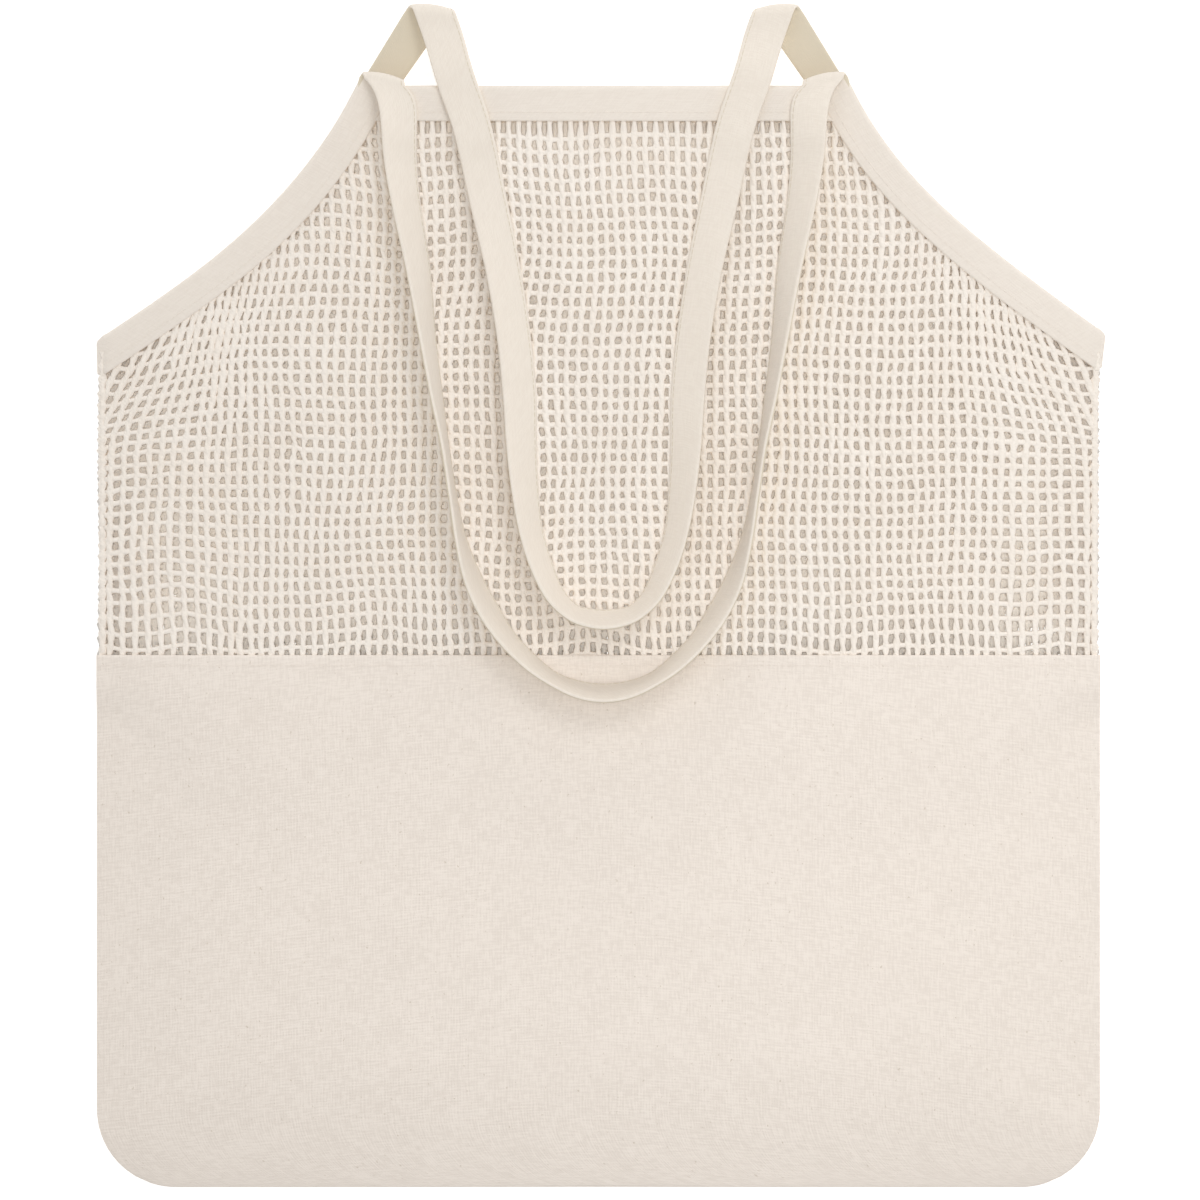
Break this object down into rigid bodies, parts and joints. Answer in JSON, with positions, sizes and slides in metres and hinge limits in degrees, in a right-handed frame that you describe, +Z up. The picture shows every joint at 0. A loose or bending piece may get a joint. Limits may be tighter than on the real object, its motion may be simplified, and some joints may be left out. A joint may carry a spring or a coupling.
{
  "type": "mesh tote bag",
  "caption": "Cotton shopping tote lying flat: canvas lower half, open net upper half with scooped armholes, taped edges and long tape handles laid forward over the front.",
  "frame": {"origin": "middle of the bag's plan, on the surface that its back panel lies on", "axes": "+X across the bag to its right as the front is seen, +Y from the bottom edge to the mouth, +Z up out of the front"},
  "size_m": [0.382, 0.4464, 0.0264],
  "materials": {
    "canvas": "matt plain-woven natural cotton canvas",
    "net": "soft undyed cotton net of small oblong cells",
    "tape": "matt folded and stitched cotton tape"
  },
  "bodies": {
    "root": {"canvas_front": "canvas", "canvas_back": "canvas", "net_front": "net", "net_back": "net", "hem_front": "tape", "hem_back": "tape", "binding_left": "tape", "binding_right": "tape", "strap_front": "tape", "strap_back": "tape"}
  },
  "joints": []
}
